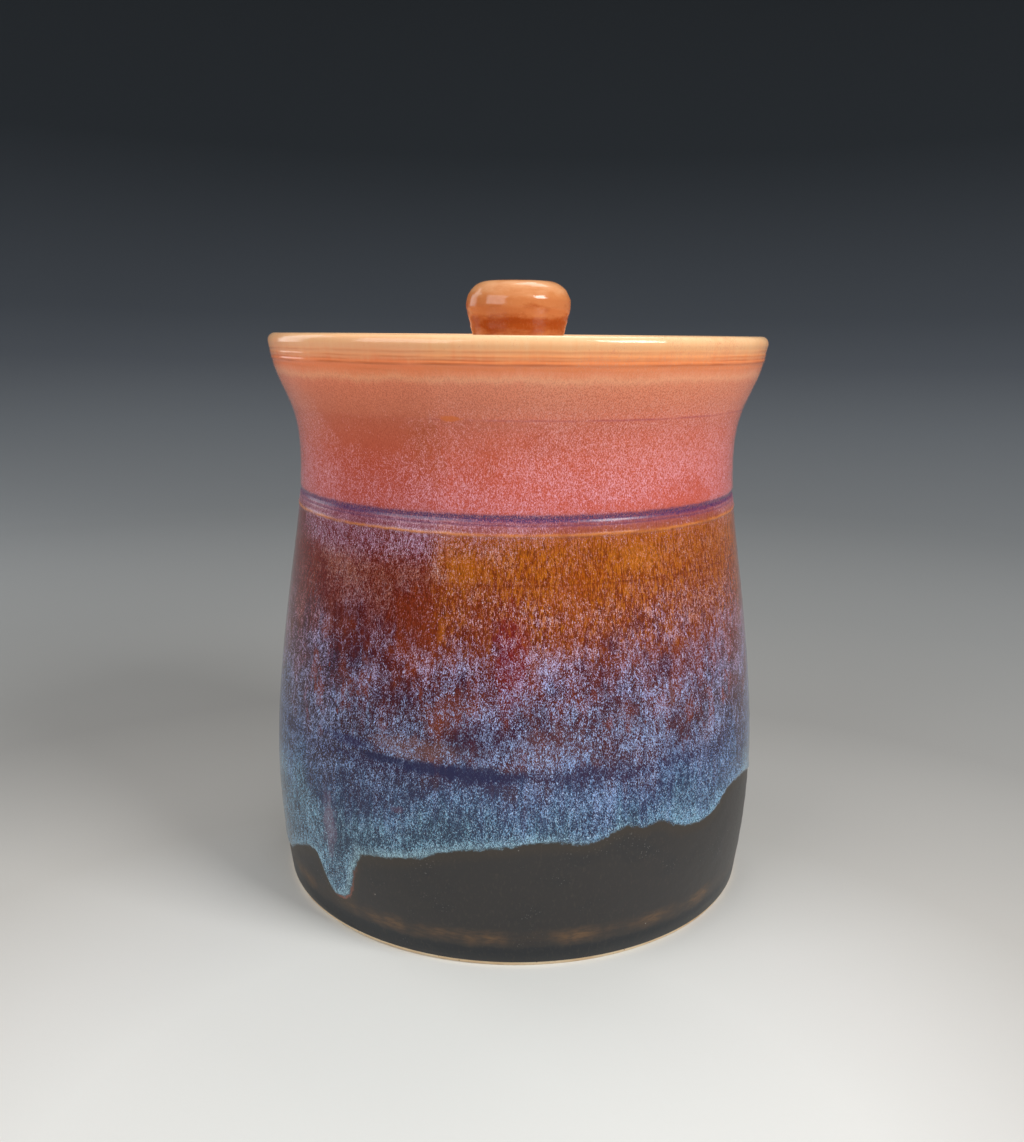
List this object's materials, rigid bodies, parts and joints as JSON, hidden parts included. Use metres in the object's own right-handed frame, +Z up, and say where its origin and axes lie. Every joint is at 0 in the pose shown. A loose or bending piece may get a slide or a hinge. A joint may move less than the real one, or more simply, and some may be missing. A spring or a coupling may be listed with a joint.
{
  "type": "lidded stoneware canister",
  "caption": "Wheel-thrown stoneware canister with a flared lip, grooves below its neck, and a drop-in lid that lifts off an inner ledge by its round knob.",
  "frame": {"origin": "middle of the foot's underside, on the surface that the canister stands on", "axes": "+Z up along the canister's axis of turning, towards the knob; +Y away from the pictured side"},
  "size_m": [0.1536, 0.1536, 0.184],
  "materials": {
    "layered_glaze": "gloss",
    "salmon_glaze": "gloss"
  },
  "bodies": {
    "jar": {"jar_body": "layered_glaze"},
    "lid_and_knob": {"lid": "salmon_glaze", "lid_knob": "salmon_glaze"}
  },
  "joints": [
    {"name": "lid_lift", "type": "slide", "parent": "jar", "child": "lid_and_knob", "axis": [0, 0, 1], "range_m": [0, 0.1]}
  ]
}
